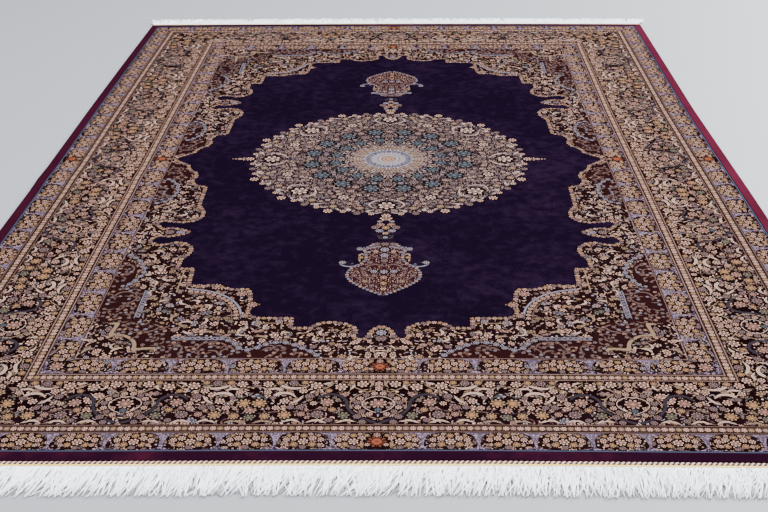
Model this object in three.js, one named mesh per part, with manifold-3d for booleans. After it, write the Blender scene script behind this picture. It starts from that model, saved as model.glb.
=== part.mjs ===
// A hand-knotted medallion rug lying flat: the pile body, a stitched cord across each end, and a knotted
// fringe beyond it. Millimetres, +Z up, X across the rug, Y along its warps, with the origin on the floor
// under the middle of the rug.
import * as THREE from 'three';
import { mergeVertices } from 'three/addons/utils/BufferGeometryUtils.js';
import Module from 'manifold-3d';

// Driving dimensions
const bodyWidth = 2000;
const bodyLength = 3000;
const bodyThickness = 6;
const edgeRounding = 1.5;
const seamGap = 0.3;

const cordWidth = 9;
const cordThickness = 6;
const cordRounding = 1.2;

const webWidth = 8;
const webThickness = 3;
const fringeLength = 98;
const locksPerEnd = 124;
const lockRootRadius = 6;
const lockTipRadius = 2.5;
const lockSides = 3;
const lockSegments = 2;
const lockRootInWeb = 3;
const endMargin = 9;

// How the locks lie: a slow sideways sway along the end, a splay at the corners and uneven lengths
const steadySway = 5.5;
const wavingSway = 3.5;
const swayWaves = 3.5;
const cornerSplay = 24;
const cornerSplayWidth = 70;
const lengthUnevenness = 14;
const locksBetweenFullLengths = 31;
const firstFullLengthLock = 15;

// Hand-knotted edges are never straight: how far each long edge lies inside the full width
const sideEdgeRows = [
  { along: -1.0, leftInset: 3, rightInset: 4 },
  { along: -0.72, leftInset: 1, rightInset: 1 },
  { along: -0.4, leftInset: 0, rightInset: 0 },
  { along: -0.16, leftInset: 2, rightInset: 1 },
  { along: -0.1, leftInset: 0, rightInset: 2 },
  { along: -0.04, leftInset: 3, rightInset: 3 },
  { along: 0.3, leftInset: 2, rightInset: 8 },
  { along: 0.62, leftInset: 4, rightInset: 4 },
  { along: 1.0, leftInset: 9, rightInset: 0 },
];

// How far each end edge lies inside the full length
const endEdgeRows = [
  { across: -1.0, nearInset: 0, farInset: 11 },
  { across: -0.6, nearInset: 2, farInset: 4 },
  { across: -0.2, nearInset: 8, farInset: 0 },
  { across: 0.2, nearInset: 11, farInset: 0 },
  { across: 0.6, nearInset: 9, farInset: 3 },
  { across: 1.0, nearInset: 6, farInset: 12 },
];

const stepsAlongSide = 30;
const stepsAcrossEnd = 20;
const samplesPerRow = 12;
const roundingSteps = 2;
const weldDistance = 1e-3;
const simplifyTolerance = 0.02;

const wasm = await Module();
wasm.setup();

// Colours and finishes
const silkPile = new THREE.MeshStandardMaterial({ color: 0x2a1436, roughness: 0.75, metalness: 0 });
const creamCord = new THREE.MeshStandardMaterial({ color: 0xd9bfa4, roughness: 0.8, metalness: 0 });
const whiteFringe = new THREE.MeshStandardMaterial({ color: 0xe9edf2, roughness: 0.85, metalness: 0 });

// A table column as a smooth curve of the row's station, which runs from -1 to 1
function columnCurve(rows, station, column) {
  const points = rows.map((row) => new THREE.Vector2(row[station], row[column]));
  const curve = new THREE.SplineCurve(points);
  const sampled = curve.getPoints(rows.length * samplesPerRow);
  return (s) => {
    const next = Math.max(1, sampled.findIndex((point) => point.x >= s - 1e-9));
    const low = sampled[next - 1];
    const high = sampled[next];
    const share = THREE.MathUtils.clamp((s - low.x) / (high.x - low.x), 0, 1);
    return Math.max(0, THREE.MathUtils.lerp(low.y, high.y, share));
  };
}

const leftInset = columnCurve(sideEdgeRows, 'along', 'leftInset');
const rightInset = columnCurve(sideEdgeRows, 'along', 'rightInset');
const endInset = {
  near: columnCurve(endEdgeRows, 'across', 'nearInset'),
  far: columnCurve(endEdgeRows, 'across', 'farInset'),
};
const outward = { near: -1, far: 1 };

// The body's end edge: its left and right corners, and its Y at a share across from -1 to 1
function endEdge(end) {
  const along = outward[end];
  const left = -bodyWidth / 2 + leftInset(along);
  const right = bodyWidth / 2 - rightInset(along);
  const xAt = (across) => THREE.MathUtils.mapLinear(across, -1, 1, left, right);
  const yAt = (across) => along * (bodyLength / 2 - endInset[end](across));
  return { xAt, yAt };
}

const sharesFromMinusOneToOne = (steps) => Array.from({ length: steps + 1 }, (_, i) => -1 + (2 * i) / steps);

// A slab of a plan outline with its upper and lower edges rounded over, standing on the floor
function slab(points, thickness, rounding) {
  return new THREE.ExtrudeGeometry(new THREE.Shape(points), {
    depth: thickness - 2 * rounding,
    bevelEnabled: true,
    bevelThickness: rounding,
    bevelSize: rounding,
    bevelOffset: -rounding,
    bevelSegments: roundingSteps,
  }).translate(0, 0, rounding);
}

// The knotted body's plan: near end from left to right, right side, far end back, left side back
function bodyPlan() {
  const near = endEdge('near');
  const far = endEdge('far');
  const across = sharesFromMinusOneToOne(stepsAcrossEnd);
  const between = sharesFromMinusOneToOne(stepsAlongSide).slice(1, -1);
  const sideY = (along, corner) =>
    THREE.MathUtils.mapLinear(along, -1, 1, near.yAt(corner), far.yAt(corner));
  const nearPoints = across.map((s) => new THREE.Vector2(near.xAt(s), near.yAt(s)));
  const halfWidth = bodyWidth / 2;
  const rightPoints = between.map((s) => new THREE.Vector2(halfWidth - rightInset(s), sideY(s, 1)));
  const farPoints = across.map((s) => new THREE.Vector2(far.xAt(s), far.yAt(s))).reverse();
  const leftPoints = between.map((s) => new THREE.Vector2(leftInset(s) - halfWidth, sideY(s, -1))).reverse();
  return [...nearPoints, ...rightPoints, ...farPoints, ...leftPoints];
}

// The plan of a strip that follows an end edge, from one distance beyond it to another
function stripPlan(end, from, to) {
  const edge = endEdge(end);
  const across = sharesFromMinusOneToOne(stepsAcrossEnd);
  const line = (distance) =>
    across.map((s) => new THREE.Vector2(edge.xAt(s), edge.yAt(s) + outward[end] * distance));
  const plan = [...line(from), ...line(to).reverse()];
  return end === 'near' ? plan.reverse() : plan;
}

// A closed manifold solid of a three.js geometry, and the geometry of a solid
function solidOf(geometry) {
  const bare = geometry.clone();
  bare.deleteAttribute('normal');
  bare.deleteAttribute('uv');
  const merged = mergeVertices(bare, weldDistance);
  return new wasm.Manifold(
    new wasm.Mesh({
      numProp: 3,
      vertProperties: new Float32Array(merged.attributes.position.array),
      triVerts: new Uint32Array(merged.index.array),
    }),
  );
}

function geometryOf(solid) {
  const { vertProperties, triVerts } = solid.getMesh();
  const geometry = new THREE.BufferGeometry();
  geometry.setAttribute('position', new THREE.BufferAttribute(vertProperties, 3));
  geometry.setIndex(new THREE.BufferAttribute(triVerts, 1));
  geometry.computeVertexNormals();
  return geometry;
}

// Repeatable unevenness from 0 to 1 for lock number i of an end
const unevenStart = { near: 3, far: 17 };
const unevenStep = Math.sqrt(2);
const uneven = (i, end) => {
  const turns = (i + unevenStart[end]) * (i + unevenStart[end]) * unevenStep;
  return turns - Math.floor(turns);
};

// One lock: a three-sided taper lying level on the floor on one flat side, swaying aside towards its tip
function lockGeometry({ x, rootY, direction, length, sway }) {
  const lock = new THREE.CylinderGeometry(lockTipRadius, lockRootRadius, length, lockSides, lockSegments);
  const flatBelowAxis = Math.cos(Math.PI / lockSides);
  const position = lock.attributes.position;
  for (let i = 0; i < position.count; i += 1) {
    const reach = position.getY(i) / length + 0.5;
    const axisHeight = flatBelowAxis * THREE.MathUtils.lerp(lockRootRadius, lockTipRadius, reach);
    const aside = sway * reach * reach;
    const across = direction * position.getX(i);
    position.setXYZ(i, x + across + aside, rootY + direction * reach * length, position.getZ(i) + axisHeight);
  }
  return lock;
}

// Where each lock of an end starts, how long it is and how far it sways
function lockRows(end) {
  const edge = endEdge(end);
  const rootDistance = cordWidth + 2 * seamGap + webWidth - lockRootInWeb;
  const usableShare = 1 - endMargin / (bodyWidth / 2);
  return Array.from({ length: locksPerEnd }, (_, i) => {
    const share = -1 + (2 * (i + 0.5)) / locksPerEnd;
    const across = share * usableShare;
    const x = edge.xAt(across);
    const fromCorner = (1 - Math.abs(share)) * (bodyWidth / 2);
    const splay = cornerSplay * Math.sign(share) * Math.max(0, 1 - fromCorner / cornerSplayWidth);
    const sway = -steadySway - wavingSway * Math.sin(share * Math.PI * swayWaves);
    const fullLength = i % locksBetweenFullLengths === firstFullLengthLock;
    const shortfall = fullLength ? 0 : lengthUnevenness * uneven(i, end);
    const rootY = edge.yAt(across) + outward[end] * rootDistance;
    const tipY = outward[end] * (bodyLength / 2 + cordWidth + webWidth + fringeLength - shortfall);
    const cornerFade = Math.min(1, fromCorner / cornerSplayWidth);
    return {
      x,
      rootY,
      direction: outward[end],
      length: Math.abs(tipY - rootY),
      sway: splay + sway * cornerFade,
    };
  });
}

// An end's fringe: a narrow flat-woven web with the locks' roots knotted into it
function fringeGeometry(end) {
  const from = cordWidth + 2 * seamGap;
  const web = new THREE.ExtrudeGeometry(new THREE.Shape(stripPlan(end, from, from + webWidth)), {
    depth: webThickness,
    bevelEnabled: false,
  });
  const locks = lockRows(end).map((row) => solidOf(lockGeometry(row)));
  const joined = locks.reduce((sum, lock) => sum.add(lock), solidOf(web));
  return geometryOf(joined.asOriginal().simplify(simplifyTolerance));
}

function addMesh(group, name, geometry, material) {
  const mesh = new THREE.Mesh(geometry, material);
  mesh.name = name;
  group.add(mesh);
}

const rug = new THREE.Group();
addMesh(rug, 'pile_body', slab(bodyPlan(), bodyThickness, edgeRounding), silkPile);
for (const end of ['near', 'far']) {
  const cordPlan = stripPlan(end, seamGap, seamGap + cordWidth);
  addMesh(rug, `stitched_cord_${end}`, slab(cordPlan, cordThickness, cordRounding), creamCord);
  addMesh(rug, `fringe_${end}`, fringeGeometry(end), whiteFringe);
}

export default rug;
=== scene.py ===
# A silk medallion rug on a pale floor: knotted pile with its design, overcast ends and white fringes.
# Metres, X across the rug, Y along it towards the far end, Z up, origin on the floor under its middle.
import math
import bpy
import numpy as np
from mathutils import Matrix


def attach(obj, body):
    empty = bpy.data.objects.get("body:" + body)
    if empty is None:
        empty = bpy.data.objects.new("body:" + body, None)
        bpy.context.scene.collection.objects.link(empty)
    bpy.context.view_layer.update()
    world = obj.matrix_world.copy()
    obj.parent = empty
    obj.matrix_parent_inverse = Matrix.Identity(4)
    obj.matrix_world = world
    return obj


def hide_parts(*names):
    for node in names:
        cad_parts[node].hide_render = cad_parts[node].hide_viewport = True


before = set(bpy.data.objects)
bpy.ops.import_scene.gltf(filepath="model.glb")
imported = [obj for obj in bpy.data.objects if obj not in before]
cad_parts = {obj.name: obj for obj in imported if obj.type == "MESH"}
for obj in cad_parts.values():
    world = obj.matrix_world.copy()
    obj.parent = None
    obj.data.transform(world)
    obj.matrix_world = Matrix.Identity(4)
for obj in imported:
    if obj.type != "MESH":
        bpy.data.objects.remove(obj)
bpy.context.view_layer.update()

mm = 0.001
anyTurn = 6.28  # radians, for random turns


def linear(red, green, blue):
    # screen colour of 0 to 255 as scene-linear light, by the sRGB curve
    share = np.array([red, green, blue]) / 255.0
    light = np.where(share <= 0.04045, share / 12.92, ((share + 0.055) / 1.055) ** 2.4)
    return (float(light[0]), float(light[1]), float(light[2]), 1.0)


class Thread:
    # a node's output that takes part in sums: each operator adds one Math node
    def __init__(self, tree, socket):
        self.tree = tree
        self.socket = socket

    def math(self, operation, *others, clamp=False):
        node = self.tree.nodes.new("ShaderNodeMath")
        node.operation = operation
        node.use_clamp = clamp
        for slot, value in zip(node.inputs, (self, *others)):
            plug(self.tree, slot, value)
        return Thread(self.tree, node.outputs[0])

    def first(self, operation, other):
        node = self.tree.nodes.new("ShaderNodeMath")
        node.operation = operation
        plug(self.tree, node.inputs[0], other)
        plug(self.tree, node.inputs[1], self)
        return Thread(self.tree, node.outputs[0])

    def __add__(self, other): return self.math("ADD", other)
    def __radd__(self, other): return self.first("ADD", other)
    def __sub__(self, other): return self.math("SUBTRACT", other)
    def __rsub__(self, other): return self.first("SUBTRACT", other)
    def __mul__(self, other): return self.math("MULTIPLY", other)
    def __rmul__(self, other): return self.first("MULTIPLY", other)
    def __truediv__(self, other): return self.math("DIVIDE", other)
    def __rtruediv__(self, other): return self.first("DIVIDE", other)
    def __pow__(self, other): return self.math("POWER", other)
    def __mod__(self, other): return self.math("FLOORED_MODULO", other)
    def __abs__(self): return self.math("ABSOLUTE")
    def __lt__(self, other): return self.math("LESS_THAN", other)
    def __gt__(self, other): return self.math("GREATER_THAN", other)


def plug(tree, slot, value):
    # a Thread is linked, anything else is the socket's own value
    if isinstance(value, Thread):
        tree.links.new(value.socket, slot)
    else:
        slot.default_value = value


class NodeTable:
    # the nodes of one material, with the Principled shader that they feed
    def __init__(self, name):
        self.material = bpy.data.materials.new(name)
        self.material.use_nodes = True
        self.tree = self.material.node_tree
        self.shader = self.tree.nodes["Principled BSDF"]

    def make(self, kind, settings=None, inputs=None, output=0):
        node = self.tree.nodes.new(kind)
        for key, value in (settings or {}).items():
            if key == "stops":
                ramp = node.color_ramp
                ramp.interpolation = settings["steps"]
                while len(ramp.elements) < len(value):
                    ramp.elements.new(1.0)
                for element, (place, colour) in zip(ramp.elements, value):
                    element.position = place
                    element.color = colour
            elif key != "steps":
                setattr(node, key, value)
        for key, value in (inputs or {}).items():
            plug(self.tree, node.inputs[key], value)
        return Thread(self.tree, node.outputs[output])

    def ramp(self, factor, stops, steps="CONSTANT"):
        return self.make("ShaderNodeValToRGB", {"stops": stops, "steps": steps}, {0: factor})

    def mix(self, share, low, high):
        return self.make("ShaderNodeMix", {"data_type": "RGBA"}, {0: share, 6: low, 7: high}, 2)

    def multiply(self, colour, factor):
        return self.make("ShaderNodeVectorMath", {"operation": "SCALE"}, {0: colour, "Scale": factor})

    def split(self, vector):
        node = self.tree.nodes.new("ShaderNodeSeparateXYZ")
        plug(self.tree, node.inputs[0], vector)
        return [Thread(self.tree, out) for out in node.outputs]

    def attribute(self, name, output="Vector"):
        return self.make("ShaderNodeAttribute", {"attribute_name": name}, {}, output)

    def feed(self, **inputs):
        for key, value in inputs.items():
            plug(self.tree, self.shader.inputs[key.replace("_", " ")], value)


def meshPiece(name, points, faceSets, material, smooth=False):
    # a mesh of points (n, 3) and several arrays of faces, each array with one number of corners
    mesh = bpy.data.meshes.new(name)
    mesh.vertices.add(len(points))
    mesh.vertices.foreach_set("co", np.asarray(points, np.float32).ravel())
    sizes = np.concatenate([np.full(len(faces), faces.shape[1]) for faces in faceSets])
    mesh.loops.add(int(sizes.sum()))
    mesh.loops.foreach_set("vertex_index", np.concatenate([f.ravel() for f in faceSets]).astype(np.int32))
    mesh.polygons.add(len(sizes))
    mesh.polygons.foreach_set("loop_start", np.concatenate([[0], np.cumsum(sizes)[:-1]]).astype(np.int32))
    mesh.polygons.foreach_set("use_smooth", np.full(len(sizes), smooth))
    mesh.update(calc_edges=True)
    mesh.materials.append(material)
    piece = bpy.data.objects.new(name, mesh)
    bpy.context.scene.collection.objects.link(piece)
    return piece


def addAttribute(piece, name, kind, domain, values):
    # one value or vector for each point or face corner
    layer = piece.data.attributes.new(name, kind, domain)
    layer.data.foreach_set("vector" if kind == "FLOAT_VECTOR" else "value",
                           np.asarray(values, np.float32).ravel())


# The design, in millimetres on the folded quarter: X from the long middle line, Y from the short one
rugBody = {
    "width": 2000.0, "length": 3000.0, "thickness": 6.0, "rounding": 1.5,
    "facesAcross": 250, "facesAlong": 376,
    # how far each edge lies inside the full size, at stations from -1 to 1
    "sideStations": [-1.0, -0.72, -0.4, -0.16, -0.1, -0.04, 0.3, 0.62, 1.0],
    "leftInset": [3, 1, 0, 2, 0, 3, 2, 4, 9], "rightInset": [4, 1, 0, 1, 2, 3, 8, 4, 0],
    "endStations": [-1.0, -0.6, -0.2, 0.2, 0.6, 1.0],
    "nearInset": [0, 2, 8, 11, 9, 6], "farInset": [11, 4, 0, 0, 3, 12],
}
halfX, halfY = rugBody["width"] / 2, rugBody["length"] / 2
quarterAcross, quarterAlong = rugBody["facesAcross"] // 2, rugBody["facesAlong"] // 2
lineX = np.linspace(0, halfX, quarterAcross + 1)
lineY = np.linspace(0, halfY, quarterAlong + 1)
middleX = (lineX[1:] + lineX[:-1]) / 2
middleY = (lineY[1:] + lineY[:-1]) / 2
# corners of every quarter face: [across, along, which x, which y]
cornerX = np.stack([lineX[:-1], lineX[1:]], 1)[:, None, :, None] + np.zeros((1, quarterAlong, 1, 2))
cornerY = np.stack([lineY[:-1], lineY[1:]], 1)[None, :, None, :] + np.zeros((quarterAcross, 1, 2, 1))
chance = np.random.default_rng(41)


def around(x0, x1, y0, y1, margin):
    # the run of quarter faces whose middles lie in a box with a margin
    i0, i1 = np.searchsorted(middleX, [x0 - margin, x1 + margin])
    j0, j1 = np.searchsorted(middleY, [y0 - margin, y1 + margin])
    return slice(i0, i1), slice(j0, j1)


class Layer:
    # one drawing layer: each face belongs to the motif whose rim is nearest to it, and its corners hold
    # that motif's own coordinates and kind
    def __init__(self, name, reach):
        self.name = name
        self.reach = reach
        self.nearest = np.full((quarterAcross, quarterAlong), reach)
        self.values = np.full((quarterAcross, quarterAlong, 2, 2, 3), 9.0)

    def claim(self, run, gap, coordinates):
        mine = gap < self.nearest[run]
        self.nearest[run] = np.where(mine, gap, self.nearest[run])
        self.values[run] = np.where(mine[:, :, None, None, None], coordinates, self.values[run])

    def bloom(self, x, y, radius, kind, turn):
        # local coordinates are the offset from the middle, turned, over the radius
        run = around(x - radius, x + radius, y - radius, y + radius, self.reach)
        dx, dy = middleX[run[0]][:, None] - x, middleY[run[1]][None, :] - y
        gap = np.hypot(dx, dy) - radius
        ox, oy = cornerX[run] - x, cornerY[run] - y
        u = (ox * math.cos(turn) + oy * math.sin(turn)) / radius
        v = (oy * math.cos(turn) - ox * math.sin(turn)) / radius
        self.claim(run, gap, np.stack([u, v, np.full_like(u, kind)], -1))

    def stroke(self, path, width, kind):
        # local coordinates are the share along the path and the signed distance from it over its half width
        path = np.asarray(path, float)
        (x0, y0), (x1, y1) = path.min(0), path.max(0)
        run = around(x0, x1, y0, y1, width + self.reach)
        shape = cornerX[run].shape
        if 0 in shape:
            return
        t, off = alongPath(path, cornerX[run].ravel(), cornerY[run].ravel())
        mx, my = np.meshgrid(middleX[run[0]], middleY[run[1]], indexing="ij")
        offMiddle = alongPath(path, mx.ravel(), my.ravel())[1]
        values = np.stack([t, off / width, np.full_like(t, kind)], -1).reshape(shape + (3,))
        self.claim(run, (np.abs(offMiddle) - width).reshape(mx.shape), values)

    def oval(self, toPlan, along, out, halfLong, halfWide):
        # local coordinates are the offsets along and across over the oval's half sizes
        x, y = toPlan(along, out)
        alongX = abs(toPlan(along + 1, out)[0] - x) > 0.5
        sizeX, sizeY = (halfLong, halfWide) if alongX else (halfWide, halfLong)
        run = around(x - sizeX, x + sizeX, y - sizeY, y + sizeY, 4)
        dx, dy = middleX[run[0]][:, None] - x, middleY[run[1]][None, :] - y
        gap = np.hypot(dx / sizeX, dy / sizeY) * 10 - 10
        u, v = (cornerX[run] - x) / sizeX, (cornerY[run] - y) / sizeY
        first, second = (u, v) if alongX else (v, u)
        self.claim(run, gap, np.stack([first, second, np.full_like(u, halfLong / 10)], -1))


def alongPath(path, x, y):
    # nearest point of a path: its share of the length, and the distance, negative on the path's right
    start, step = path[:-1], np.diff(path, axis=0)
    length = np.maximum(np.hypot(step[:, 0], step[:, 1]), 1e-9)
    before = np.concatenate([[0], np.cumsum(length)[:-1]])
    dx, dy = x[:, None] - start[:, 0], y[:, None] - start[:, 1]
    share = np.clip((dx * step[:, 0] + dy * step[:, 1]) / length ** 2, 0, 1)
    ex, ey = dx - share * step[:, 0], dy - share * step[:, 1]
    away = np.hypot(ex, ey)
    pick = np.argmin(away, 1)
    row = np.arange(len(x))
    side = np.where(step[pick, 0] * ey[row, pick] - step[pick, 1] * ex[row, pick] < 0, -1.0, 1.0)
    return (before[pick] + share[row, pick] * length[pick]) / length.sum(), side * away[row, pick]


def smoothPath(points, steps=8):
    # a curve through points: each span is the cubic whose end slopes are half the chord across its neighbours
    p = np.asarray(points, float)
    p = np.vstack([2 * p[0] - p[1], p, 2 * p[-1] - p[-2]])
    t = np.linspace(0, 1, steps, endpoint=False)[None, :, None]
    a, b, c, d = (p[k:len(p) - 3 + k, None, :] for k in range(4))
    curve = 0.5 * (2 * b + (c - a) * t + (2 * a - 5 * b + 4 * c - d) * t ** 2
                   + (3 * b - a - 3 * c + d) * t ** 3)
    return np.vstack([curve.reshape(-1, 2), p[-2]])


def insideDistance(outline, x, y):
    # distance to a closed outline, positive inside it
    path = np.vstack([outline, outline[:1]])
    away = np.abs(alongPath(path, x, y)[1])
    x0, y0, x1, y1 = path[:-1, 0], path[:-1, 1], path[1:, 0], path[1:, 1]
    crosses = (y0 > y[:, None]) != (y1 > y[:, None])
    at = x0 + (y[:, None] - y0) * (x1 - x0) / np.where(y1 == y0, 1e-9, y1 - y0)
    return np.where((crosses & (x[:, None] < at)).sum(1) % 2 == 1, away, -away)


# kinds of bloom and of stroke: the number picks a colour in the pile's dye tables
cream, gold, pink, teal, lilac, orange, green, peach = range(8)
salmon, blueWhite = 2, 6  # what pink and green are called as strokes
ribbon = 0.5  # added to a stroke's kind: even width instead of a leaf's

bloomLayers = [Layer("bloomsOne", 9.0), Layer("bloomsTwo", 9.0)]
strokeLayers = [Layer("strokesOne", 9.0), Layer("strokesTwo", 9.0)]
ovals = Layer("ovals", 16.0)
placed = [np.zeros((0, 3)), np.zeros((0, 3))]  # x, y, radius of the blooms on each layer


def room(known, x, y, radius):
    # the least gap between a bloom's rim and those already placed
    return np.min(np.hypot(known[:, 0] - x, known[:, 1] - y) - known[:, 2] - radius, initial=99.0)


def addBloom(x, y, radius, kind, turn=0.0):
    # a bloom goes on the layer where its nearest neighbour is further off
    rooms = [room(known, x, y, radius) for known in placed]
    pick = int(rooms[1] > rooms[0])
    bloomLayers[pick].bloom(x, y, radius, kind, turn)
    placed[pick] = np.vstack([placed[pick], [x, y, radius]])


drawn = {"strokes": 0}


def addStroke(path, width, kind, layer=None):
    # strokes take turns on the two layers, unless one is asked for
    drawn["strokes"] += 1
    strokeLayers[drawn["strokes"] % 2 if layer is None else layer].stroke(path, width, kind)


def fillBlooms(inside, box, radii, kinds, spacing, leafShare, tries, leafKinds):
    # dart throwing: large blooms first, each kept where it is inside and clear of the others
    x0, x1, y0, y1 = box
    for radius in radii:
        spots = np.column_stack([chance.uniform(x0, x1, tries), chance.uniform(y0, y1, tries)])
        for x, y in spots[inside(spots[:, 0], spots[:, 1]) > radius * 0.75]:
            if min(room(known, x, y, radius) for known in placed) < radius * (spacing - 1):
                continue
            addBloom(x, y, radius, chance.choice(kinds), chance.uniform(0, anyTurn))
            if chance.random() < leafShare:
                addLeaf(x, y, radius, chance.uniform(0, anyTurn), chance.choice(leafKinds))


def addLeaf(x, y, radius, turn, kind, length=18.0, width=2.2, bend=1.1):
    # a bowed leaf that starts at a bloom's rim and turns by the bend along its length
    t = np.linspace(0, 1, 7)
    angle = turn + bend * t
    path = np.column_stack([x + radius * 0.7 * math.cos(turn) + length * t * np.cos(angle),
                            y + radius * 0.7 * math.sin(turn) + length * t * np.sin(angle)])
    addStroke(path, width, kind)


def fillLeaves(inside, box, tries, kinds=(cream, cream, cream, gold)):
    # bowed leaves at random where no bloom or other stroke lies
    x0, x1, y0, y1 = box
    spots = np.column_stack([chance.uniform(x0, x1, tries), chance.uniform(y0, y1, tries)])
    for x, y in spots[inside(spots[:, 0], spots[:, 1]) > 12]:
        i, j = np.searchsorted(middleX, x), np.searchsorted(middleY, y)
        near = (slice(max(0, i - 2), i + 2), slice(max(0, j - 2), j + 2))
        if min(layer.nearest[near].min() for layer in (*bloomLayers, *strokeLayers)) > 1.5:
            addLeaf(x, y, 0.0, chance.uniform(0, anyTurn), chance.choice(kinds), chance.uniform(18, 30),
                    chance.uniform(2.2, 3.4), chance.choice((-1, 1)) * chance.uniform(0.8, 2.2))


# Borders: distances from the outer edge
bands = {
    "plainEdge": 24.0, "guards": [(29.0, 88.0), (296.0, 358.0)], "stripes": [(88.0, 112.0), (272.0, 296.0)],
    "main": (112.0, 272.0), "innerFrom": 160.0, "fieldFrom": 358.0, "repeat": 250.0, "leafTries": 1600,
    "stripePitch": 13.6, "stripeBloom": 7.2,
    "firstOval": 138.0, "lastOval": 60.0, "ovalPitch": 106.0, "ovalGap": 4.5,
    "ovalHalfWidth": 28.0, "doubleOval": 80.0,
    # the grounds inside the dark lines
    "guardGrounds": [(31.5, 84.5), (299.0, 353.5)], "stripeGrounds": [(89.0, 111.0), (273.0, 294.0)],
    "mainGround": (114.0, 269.5),
    # each dye from its distance on, read up to the last number
    "rows": [
        (0, "wine"), (24, "outline"), (25.5, "edgeBlue"), (29, "navy"), (31.5, "guard"), (84.5, "line"),
        (86.5, "beige"), (89, "line"), (91.5, "stripe"), (107, "line"), (109.5, "beige"), (112, "line"),
        (114, "borderOuter"), (269.5, "line"), (271.5, "beige"), (274, "line"), (276.5, "stripe"),
        (290.5, "line"), (293, "beige"), (295.5, "navy"), (299, "guard"), (353.5, "line"), (355.5, "beige"),
        (358, "arabesque"),
    ], "rowsTo": 400.0,
}
# one half repeat of the main border: along from the great palmette to the vase, out from the rug's edge
borderBlooms = np.array([
    # along, out, radius, kind
    (0, 186, 19, peach), (0, 162, 8, teal), (0, 240, 9, cream), (0, 258, 9, cream), (33, 257, 13, cream),
    (76, 246, 14, cream), (126, 251, 14, cream), (173, 260, 11, pink), (224, 256, 12, cream),
    (250, 262, 8, cream), (101, 190, 15, peach), (67, 144, 13, green), (118, 147, 14, pink),
    (182, 145, 15, gold), (220, 141, 12, gold), (250, 136, 12, green), (138, 212, 10, pink),
    (154, 172, 9, pink), (201, 170, 9, cream), (186, 194, 11, cream), (151, 231, 10, cream),
    (250, 162, 14, peach), (235, 186, 17, gold), (40, 140, 9, pink), (90, 164, 9, gold),
    (94, 128, 8, pink), (150, 148, 9, peach), (30, 122, 8, pink), (222, 226, 9, cream),
    (100, 232, 8, gold), (54, 262, 8, gold), (150, 262, 8, gold), (200, 262, 9, gold),
    (128, 186, 8, cream), (210, 206, 7, pink), (172, 172, 8, pink),
])
borderRing = {"middle": 184.0, "across": 42.0, "out": 39.0, "count": 15, "radius": 7.6}
borderStrokes = [
    # points of along and out, half width, kind
    ([(0, 117), (30, 133), (52, 155), (61, 176), (64, 196), (75, 212), (94, 219), (112, 212),
      (121, 199)], 3.4, lilac + ribbon),
    ([(164, 208), (178, 222), (198, 222), (210, 208), (207, 190)], 4.2, cream),
    ([(146, 246), (168, 240), (190, 246), (206, 260)], 3.8, cream),
    ([(236, 226), (220, 236), (206, 240), (192, 232)], 3.4, cream),
    ([(92, 262), (108, 258), (117, 242), (112, 226)], 3.4, cream),
    ([(60, 264), (50, 250), (58, 236)], 3.0, cream),
    ([(20, 268), (12, 258), (18, 246)], 3.0, gold),
    ([(150, 214), (160, 196), (174, 186)], 3.0, cream),
    ([(128, 232), (136, 222), (132, 208)], 2.8, cream),
    ([(232, 170), (222, 186), (226, 204), (238, 214)], 2.8, teal),
    ([(44, 122), (62, 128), (80, 118)], 3.2, cream),
    ([(100, 118), (118, 128), (138, 120)], 3.0, cream),
    ([(150, 120), (168, 129), (188, 119)], 3.2, cream),
    ([(204, 118), (222, 126), (240, 117)], 3.0, gold),
    ([(0, 132), (20, 141), (42, 156), (55, 176), (54, 196), (40, 216), (20, 228),
      (0, 236)], 1.3, gold + ribbon),
    ([(0, 152), (16, 160), (30, 176), (31, 192), (18, 206), (0, 212)], 0.9, cream + ribbon),
    ([(0, 208), (40, 238), (80, 262), (116, 236), (158, 252), (196, 238), (250, 246)], 1.4, gold + ribbon),
    ([(84, 150), (108, 166), (140, 158), (170, 156), (200, 156), (236, 150)], 1.4, salmon + ribbon),
]
ovalBlooms = np.array([
    # along and out from the oval's middle, radius, kind
    (0, -2, 11, cream), (0, 17, 8, gold), (0, -20, 7, pink), (17, 9, 8.5, cream), (-17, 9, 8.5, cream),
    (17, -11, 8.5, gold), (-17, -11, 8.5, gold), (32, 4, 7.5, cream), (-32, 4, 7.5, cream),
    (29, -12, 5.5, cream), (-29, -12, 5.5, cream), (28, 18, 5.5, gold), (-28, 18, 5.5, gold),
    (13, 22, 5.0, cream), (-13, 22, 5.0, cream),
])
# long side and end: plan of a distance along and out, and half the length
sideWays = [(lambda along, out: (halfX - out, along), halfY), (lambda along, out: (along, halfY - out), halfX)]


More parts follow.
